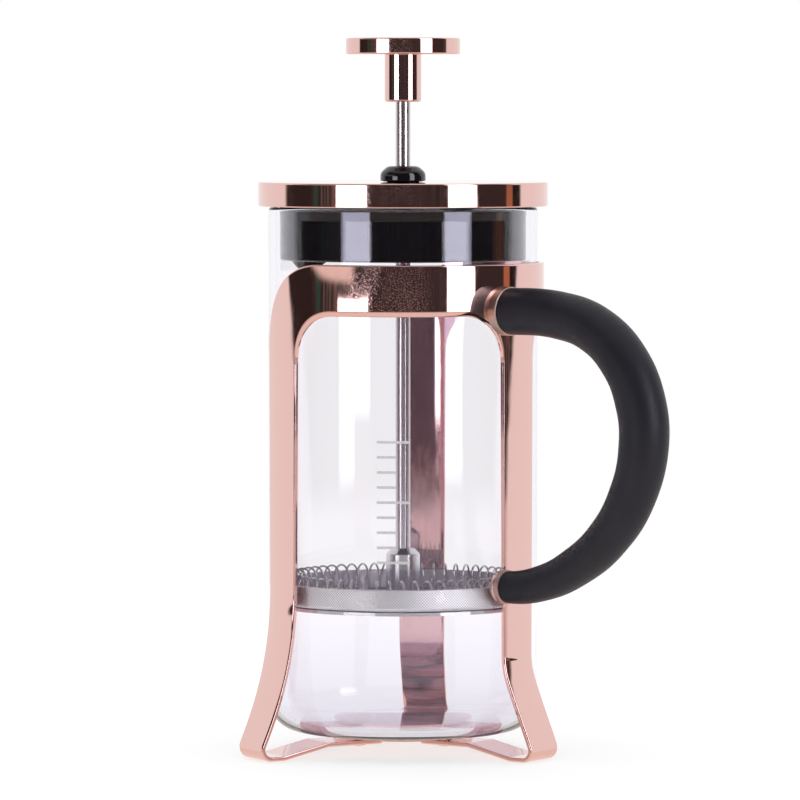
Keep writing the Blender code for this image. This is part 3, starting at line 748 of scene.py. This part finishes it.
def make_level_marks():
    """A plain scale of frosted ticks on the outside of the glass."""
    points, faces = [], []
    middle = math.degrees(VIEW_ANGLE) - 4.0
    for index in range(9):
        height = (54 + index * 4) * MM
        half = 7.0 if index % 4 == 0 else 4.0
        steps = 12
        base = len(points)
        for layer in (0.02 * MM, 0.07 * MM):
            for edge in (-0.35 * MM, 0.35 * MM):
                for step in range(steps + 1):
                    angle = math.radians(middle - 7.0 + 2 * half * step / steps)
                    r = GLASS_RADIUS + layer
                    points.append(AXIS + Vector((r * math.cos(angle), r * math.sin(angle), height + edge)))
        row = steps + 1
        for step in range(steps):
            a, b, c, d = (base + row * k + step for k in range(4))
            faces += [(a, b, b + 1, a + 1), (c, c + 1, d + 1, d)]
            faces += [(a, a + 1, c + 1, c), (b, d, d + 1, b + 1)]
        for end, flip in ((0, False), (steps, True)):
            quad = [base + row * k + end for k in (0, 2, 3, 1)]
            faces.append(tuple(reversed(quad)) if flip else tuple(quad))
    marks = new_object("level_marks", points, faces)
    marks.data.shade_flat()
    return finish_piece(marks, MARKS, "beaker")


# ---- handle ---------------------------------------------------------------------------------------


def on_handle(reach, side, height):
    """A point in the handle's upright plane: its distance from the axis, sideways offset and height."""
    angle = math.radians(HANDLE_ANGLE)
    return AXIS + Vector((
        reach * math.cos(angle) - side * math.sin(angle),
        reach * math.sin(angle) + side * math.cos(angle),
        height,
    ))


def make_grip():
    curve = bpy.data.curves.new("grip_path", "CURVE")
    curve.dimensions = "3D"
    curve.bevel_depth = MM
    curve.bevel_resolution = 14
    curve.use_fill_caps = True
    curve.resolution_u = 18
    spline = curve.splines.new("BEZIER")
    spline.bezier_points.add(len(HANDLE_PATH) - 1)
    for point, (reach, height, radius) in zip(spline.bezier_points, HANDLE_PATH):
        point.co = on_handle(reach * MM, 0, height * MM)
        point.radius = radius
        point.handle_left_type = point.handle_right_type = "AUTO"
    lever = on_handle(END_LEVER, 0, 0) - AXIS
    for point in (spline.bezier_points[0], spline.bezier_points[-1]):
        point.handle_left_type = point.handle_right_type = "FREE"
        point.handle_left = point.handle_right = point.co + lever
    path = bpy.data.objects.new("grip_path", curve)
    bpy.context.scene.collection.objects.link(path)
    graph = bpy.context.evaluated_depsgraph_get()
    mesh = bpy.data.meshes.new_from_object(path.evaluated_get(graph))
    bpy.data.objects.remove(path, do_unlink=True)
    cage = bmesh.new()
    cage.from_mesh(mesh)
    bmesh.ops.remove_doubles(cage, verts=cage.verts, dist=0.00001)
    bmesh.ops.recalc_face_normals(cage, faces=cage.faces)
    cage.to_mesh(mesh)
    cage.free()
    mesh.materials.clear()
    mesh.shade_smooth()
    mesh.name = "grip"
    grip = bpy.data.objects.new("grip", mesh)
    bpy.context.scene.collection.objects.link(grip)
    bevel = grip.modifiers.new("rounded_ends", "BEVEL")
    bevel.width = 0.5 * MM
    bevel.segments = 3
    bevel.limit_method = "ANGLE"
    bevel.angle_limit = math.radians(50)
    bevel.harden_normals = True
    return finish_piece(grip, GRIP, "frame", "handle_grip")


def make_ferrule(name, index, radius, node):
    """A turned ferrule between the frame and the grip, its back shaped to the rolled sheet."""
    reach, height, _ = HANDLE_PATH[index]
    seat = FRAME_RADIUS + SHEET / 2 - 0.05 * MM
    face = reach * MM - 0.05 * MM
    back = seat - 1 * MM
    profile = [(0.0, face, 0), (radius, face, 0.35 * MM), (radius, back, 0), (0.0, back, 0)]
    segments = 96
    ring = softened(profile, False)
    points, normals, faces, rows = [], [], [], []
    for place, normal in ring:
        row = []
        for step in range(1 if place.x < 1e-7 else segments):
            angle = 2 * math.pi * step / segments
            side, up = place.x * math.cos(angle), place.x * math.sin(angle)
            out = place.y if place.y > seat else math.sqrt(seat * seat - side * side)
            row.append(len(points))
            points.append(on_handle(out, side, height * MM + up))
            turn = on_handle(normal.y, normal.x * math.cos(angle), normal.x * math.sin(angle)) - AXIS
            normals.append(turn.normalized())
        rows.append(row)
    for first, second in zip(rows, rows[1:]):
        for step in range(segments):
            after = (step + 1) % segments
            if len(first) == 1:
                faces.append((first[0], second[step], second[after]))
            elif len(second) == 1:
                faces.append((first[step], second[0], first[after]))
            else:
                faces.append((first[step], second[step], second[after], first[after]))
    obj = new_object(name, points, faces, normals)
    return finish_piece(obj, SATIN_GOLD, "frame", node)


# ---- filter coil ----------------------------------------------------------------------------------


def make_coil():
    """The spring wire wound into a closed ring of loops."""
    curve = bpy.data.curves.new("filter_coil", "CURVE")
    curve.dimensions = "3D"
    curve.bevel_depth = COIL_WIRE
    curve.bevel_resolution = 3
    spline = curve.splines.new("POLY")
    count = COIL_LOOPS * COIL_STEPS
    spline.points.add(count - 1)
    for index, point in enumerate(spline.points):
        around = 2 * math.pi * index / count
        loop = around * COIL_LOOPS
        radius = COIL_RING - COIL_HALF_WIDTH * math.cos(loop)
        height = COIL_MIDDLE + COIL_HALF_HEIGHT * math.sin(loop)
        point.co = (AXIS.x + radius * math.cos(around), radius * math.sin(around), height, 1)
    spline.use_cyclic_u = True
    coil = bpy.data.objects.new("filter_coil", curve)
    bpy.context.scene.collection.objects.link(coil)
    return finish_piece(coil, STEEL, "plunger", "coil_spring")


# ---- turned pieces --------------------------------------------------------------------------------


def make_lid():
    cover = [
        (4.6, 154.4, 0.2), (39.2, 154.4, 0.45), (39.2, 147.9, 0.3), (38.4, 147.9, 0.2),
        (38.4, 153.6, 0.2), (4.6, 153.6, 0.1),
    ]
    plate = turned_mm("lid_cover_plate", cover, segments=256, steps=8)
    finish_piece(plate, ROSE_GOLD, "lid", "lid_cover")
    liner = [
        (4.6, 153.3, 0.1), (38.1, 153.3, 0.3), (38.1, 147.9, 0.3), (33.5, 147.9, 0.3),
        (33.3, 144.3, 0.3), (33.3, 133.4, 0.5), (31.7, 133.4, 0.4), (31.7, 151.5, 0.6),
        (4.6, 151.5, 0.1),
    ]
    finish_piece(turned_mm("lid_liner_ring", liner, segments=256), GLOSS, "lid", "lid_liner")
    make_tongue()
    bushing = [
        (2.25, 158.7, 0.15), (4.1, 158.7, 2.4), (6.15, 156.9, 2.2), (6.15, 154.7, 0.3), (5.2, 154.5, 0.1),
        (4.3, 154.5, 0.1), (4.3, 146.9, 0.3), (2.25, 146.9, 0.2),
    ]
    dome = turned_mm("rod_bushing_dome", bushing, segments=96, steps=8)
    finish_piece(dome, GLOSS, "bushing", "rod_bushing")


def turned_mm(name, profile, **options):
    return turned(name, [(r * MM, z * MM, fillet * MM) for r, z, fillet in profile], **options)


def make_tongue():
    """The strainer tongue that hangs from the skirt behind the pour spout."""
    inner, outer, half, full, steps = 31.8 * MM, 33.2 * MM, 18.0, 5.0, 36
    points, faces = [], []
    for step in range(steps + 1):
        turn = -half + 2 * half * step / steps
        angle = math.radians(180 + turn)
        droop = min(1.0, (half - abs(turn)) / (half - full))
        bottom = 133.6 * MM - 3.8 * MM * droop
        for radius, height in ((inner, 135 * MM), (outer, 135 * MM), (outer, bottom), (inner, bottom)):
            points.append(AXIS + Vector((radius * math.cos(angle), radius * math.sin(angle), height)))
    for step in range(steps):
        for k in range(4):
            a, b = step * 4 + k, step * 4 + (k + 1) % 4
            faces.append((a, b, b + 4, a + 4))
    faces += [(3, 2, 1, 0), tuple(steps * 4 + k for k in range(4))]
    tongue = new_object("lid_tongue", points, faces)
    tongue.data.set_sharp_from_angle(angle=math.radians(35))
    bevel = tongue.modifiers.new("edges", "BEVEL")
    bevel.width = 0.2 * MM
    bevel.segments = 2
    bevel.limit_method = "ANGLE"
    bevel.angle_limit = math.radians(50)
    return finish_piece(tongue, GLOSS, "lid")


def make_plunger():
    rod = [(0, 185.8, 0), (2.0, 185.8, 0.3), (2.0, 37.7, 0.3), (0, 37.7, 0)]
    finish_piece(turned_mm("plunger_shaft", rod, closed=False, segments=64), STEEL, "plunger", "plunger_rod")
    stem = [
        (0, 188.9, 0), (4.95, 188.9, 0.2), (4.95, 176.0, 0.55), (2.05, 176.0, 0.15),
        (2.05, 186.0, 0), (0, 186.0, 0),
    ]
    finish_piece(turned_mm("knob_neck", stem, closed=False, segments=96), ROSE_GOLD, "plunger", "knob_stem")
    knob = [(0, 193.2, 0), (15.45, 193.2, 0.4), (15.45, 188.8, 0.4), (0, 188.8, 0)]
    finish_piece(turned_mm("knob_cap", knob, closed=False, steps=8), ROSE_GOLD, "plunger", "knob_disc")
    hub = [(2.05, 55.2, 0.3), (3.0, 55.2, 0.4), (4.6, 53.6, 0.4), (4.6, 42.7, 0.25), (2.05, 42.7, 0.1)]
    finish_piece(turned_mm("filter_hub_turned", hub, segments=96), HUB_STEEL, "plunger", "filter_hub")
    dish = [
        (2.3, 41.2, 0.1), (33.8, 41.2, 0.7), (33.8, 46.35, 0.1), (33.75, 46.6, 0.15), (34.3, 46.6, 0.25),
        (34.3, 40.7, 1.1), (2.3, 40.7, 0.1),
    ]
    finish_piece(turned_mm("filter_screen", dish, segments=256), CLOTH, "plunger", "mesh_screen")


def make_fasteners():
    """Rivets through the base disc, with heads over and under it."""
    top = (TAB_LEVEL + SHEET / 2) / MM + 1.3
    under = (TAB_LEVEL - SHEET / 2) / MM
    for index, leg in enumerate(LEG_ANGLES):
        turn = math.radians(leg)
        profile = [
            (0, top + 0.15, 0), (2.1, top + 0.15, 0.3), (2.1, top - 0.2, 0), (1.4, top - 0.2, 0),
            (1.4, under - 0.3, 0), (2.4, under, 0), (2.4, under - 0.6, 0.5), (0, under - 1.25, 0),
        ]
        rivet = turned_mm(f"base_rivet_head_{index + 1}", profile, closed=False, segments=48)
        place = (RIVET_PLACE * math.cos(turn), RIVET_PLACE * math.sin(turn), 0)
        rivet.data.transform(Matrix.Translation(place))
        finish_piece(rivet, ROSE_GOLD, "frame", f"base_rivet_{index + 1}")


def bevelled(node, width, material, segments=2):
    """A CAD node that stays: softer edges and a better material."""
    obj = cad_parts[node]
    bevel = obj.modifiers.new("softer_edges", "BEVEL")
    bevel.width = width
    bevel.segments = segments
    bevel.limit_method = "ANGLE"
    bevel.angle_limit = math.radians(40)
    bevel.harden_normals = True
    painted(node, material)


def painted(node, material):
    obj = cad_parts[node]
    for slot in obj.material_slots:
        slot.material = material


# ---- studio ---------------------------------------------------------------------------------------


def make_camera():
    angle, rise = VIEW_ANGLE, math.radians(VIEW_ELEVATION)
    away = Vector((math.cos(angle) * math.cos(rise), math.sin(angle) * math.cos(rise), math.sin(rise)))
    data = bpy.data.cameras.new("camera")
    data.sensor_width = 36.0
    data.lens = VIEW_LENS
    data.shift_x = VIEW_SHIFT
    data.clip_start, data.clip_end = 0.1, 20.0
    camera = bpy.data.objects.new("camera", data)
    bpy.context.scene.collection.objects.link(camera)
    camera.location = AXIS + Vector((0, 0, VIEW_HEIGHT)) + away * VIEW_DISTANCE
    camera.rotation_mode = "QUATERNION"
    camera.rotation_quaternion = (-away).to_track_quat("-Z", "Y")
    bpy.context.scene.camera = camera


def make_floor():
    mesh = bpy.data.meshes.new("floor")
    cage = bmesh.new()
    bmesh.ops.create_circle(cage, cap_ends=True, segments=96, radius=0.55)
    cage.to_mesh(mesh)
    cage.free()
    floor = bpy.data.objects.new("floor", mesh)
    bpy.context.scene.collection.objects.link(floor)
    floor.location = (0, 0, -0.0002)
    s = Surface("studio_floor", (0.38, 0.38, 0.38), 0.9)
    s.set("Specular IOR Level", 0.0)
    s.set("Emission Color", (1.0, 1.0, 1.0, 1.0))
    s.set("Emission Strength", 0.68)
    mesh.materials.append(s.material)
    floor.visible_glossy = False


def make_studio_light():
    """A white studio. Mirror reflections also see a dim end with two tall softboxes, as in real sets."""
    world = bpy.data.worlds.new("studio")
    bpy.context.scene.world = world
    world.use_nodes = True
    world.cycles.sampling_method = "NONE"
    tree = world.node_tree
    tree.nodes.clear()

    def feed(socket, value):
        if isinstance(value, bpy.types.NodeSocket):
            tree.links.new(value, socket)
        else:
            socket.default_value = value

    def number(operation, first, second=0.0, third=0.0):
        node = tree.nodes.new("ShaderNodeMath")
        node.operation = operation
        for socket, value in zip(node.inputs, (first, second, third)):
            feed(socket, value)
        return node.outputs[0]

    def ramp(value, start, end):
        node = tree.nodes.new("ShaderNodeMapRange")
        node.interpolation_type = "SMOOTHSTEP"
        for index, item in enumerate((value, start, end, 0.0, 1.0)):
            feed(node.inputs[index], item)
        return node.outputs["Result"]

    def below(value, start, end):
        return number("SUBTRACT", 1.0, ramp(value, start, end))

    def between(value, low, high, soft=1.5):
        risen = ramp(value, low - soft, low + soft)
        return number("MULTIPLY", risen, below(value, high - soft, high + soft))

    def mix(factor, first, second):
        node = tree.nodes.new("ShaderNodeMix")
        node.data_type = "RGBA"
        feed(node.inputs["Factor"], factor)
        for index, color in ((6, first), (7, second)):
            feed(node.inputs[index], (*color, 1.0) if isinstance(color, tuple) else color)
        return node.outputs[2]

    direction = tree.nodes.new("ShaderNodeTexCoord").outputs["Generated"]
    split = tree.nodes.new("ShaderNodeSeparateXYZ")
    feed(split.inputs[0], direction)
    x, y, z = split.outputs
    facing = (math.cos(VIEW_ANGLE), math.sin(VIEW_ANGLE))
    ahead = number("ADD", number("MULTIPLY", x, facing[0]), number("MULTIPLY", y, facing[1]))
    left = number("SUBTRACT", number("MULTIPLY", y, facing[0]), number("MULTIPLY", x, facing[1]))
    turn = number("DEGREES", number("ARCTAN2", left, ahead))  # anticlockwise from the dim end's middle
    away = number("ABSOLUTE", turn)

    stripes = tree.nodes.new("ShaderNodeTexNoise")
    stripes.noise_dimensions = "1D"
    feed(stripes.inputs["W"], turn)
    feed(stripes.inputs["Scale"], 0.22)
    feed(stripes.inputs["Detail"], 3.0)
    speckle = tree.nodes.new("ShaderNodeTexNoise")
    feed(speckle.inputs["Vector"], direction)
    feed(speckle.inputs["Scale"], 70.0)
    feed(speckle.inputs["Detail"], 2.0)

    dim = mix(ramp(speckle.outputs["Fac"], 0.42, 0.68), (0.036, 0.030, 0.031), (0.085, 0.068, 0.066))
    room = mix(ramp(stripes.outputs["Fac"], 0.45, 0.62), (0.035, 0.032, 0.034), (0.16, 0.125, 0.11))
    shade = mix(ramp(away, 44, 48), dim, room)
    orange = number("MULTIPLY", between(turn, 90, 97, 1.0), between(z, -0.036, -0.014, 0.004))
    shade = mix(orange, shade, (0.50, 0.20, 0.10))
    shade = mix(between(turn, 61, 89, 1.0), shade, (0.045, 0.034, 0.033))
    shade = mix(between(turn, 97, 112, 1.0), shade, (0.02, 0.015, 0.015))
    shade = mix(between(turn, -74.5, -71, 0.8), shade, (0.035, 0.085, 0.06))
    shade = mix(between(turn, -104, -77, 1.5), shade, (0.032, 0.024, 0.023))
    warm = number("MULTIPLY", between(turn, -96, -42, 3.0), ramp(z, 0.055, 0.075))
    warm = number("MULTIPLY", warm, below(z, 0.25, 0.4))
    shade = mix(warm, shade, (0.96, 0.86, 0.81))
    foot = number("MULTIPLY_ADD", ramp(turn, -5, 5), -0.012, -0.055)
    right_box = number("MULTIPLY", between(turn, 36.3, 60.5, 0.8), below(z, 0.60, 0.66))
    left_box = number("MULTIPLY", between(turn, -54.2, -28.9, 0.8), below(z, 0.018, 0.03))
    boxes = number("ADD", left_box, right_box)
    lit = number("MULTIPLY", boxes, ramp(number("SUBTRACT", z, foot), -0.003, 0.003))
    shade = mix(lit, shade, (5.0, 4.95, 5.3))
    under = number("MULTIPLY", z, -1.0)
    table = mix(ramp(under, 0.07, 0.12), (0.84, 0.77, 0.76), (0.62, 0.47, 0.43))
    shade = mix(ramp(under, 0.066, 0.076), shade, table)
    shade = mix(ramp(z, 0.62, 0.85), shade, (0.75, 0.75, 0.77))
    side = number("MULTIPLY_ADD", ramp(z, -0.07, -0.02), 13.0, 94.0)
    side = number("MULTIPLY_ADD", ramp(z, -0.012, 0.002), -9.0, side)
    shade = mix(ramp(number("SUBTRACT", away, side), -2.0, 2.0), shade, (1.0, 1.0, 1.0))
    shade = mix(ramp(under, 0.15, 0.26), shade, (0.97, 0.87, 0.79))

    path = tree.nodes.new("ShaderNodeLightPath")
    mirrored = number("GREATER_THAN", path.outputs["Glossy Depth"], 0.5)
    mirrored = number("MULTIPLY", mirrored, number("SUBTRACT", 1.0, path.outputs["Is Diffuse Ray"]))
    background = tree.nodes.new("ShaderNodeBackground")
    walled = number("MULTIPLY", number("GREATER_THAN", path.outputs["Glossy Depth"], 1.5),
                    number("GREATER_THAN", path.outputs["Transmission Depth"], 0.5))
    shade = mix(walled, shade, (0.72, 0.71, 0.82))
    feed(background.inputs["Color"], mix(mirrored, (1.0, 1.0, 1.0), shade))
    output = tree.nodes.new("ShaderNodeOutputWorld")
    tree.links.new(background.outputs[0], output.inputs[0])


# ---- assembly -------------------------------------------------------------------------------------

make_frame()
make_beaker()
make_level_marks()
make_grip()
make_ferrule("ferrule_upper", 0, FERRULE_RADIUS, "handle_ferrule_upper")
make_ferrule("ferrule_lower", -1, COLLAR_RADIUS, "handle_ferrule_lower")
make_coil()
make_lid()
make_plunger()
make_fasteners()
bevelled("base_disc", 0.25 * MM, ROSE_GOLD)
bevelled("bushing_nut", 0.3 * MM, GLOSS)
bevelled("filter_nut", 0.2 * MM, HUB_STEEL)
bevelled("cross_plate", 0.15 * MM, STEEL)
bevelled("spiral_plate", 0.15 * MM, STEEL)
painted("handle_screw_upper", HUB_STEEL)
painted("handle_screw_lower", HUB_STEEL)

make_floor()
make_studio_light()
make_camera()
bpy.context.scene.view_settings.view_transform = "Standard"
bpy.context.scene.cycles.transmission_bounces = 16
bpy.context.scene.cycles.max_bounces = 20
bpy.context.scene.cycles.glossy_bounces = 8
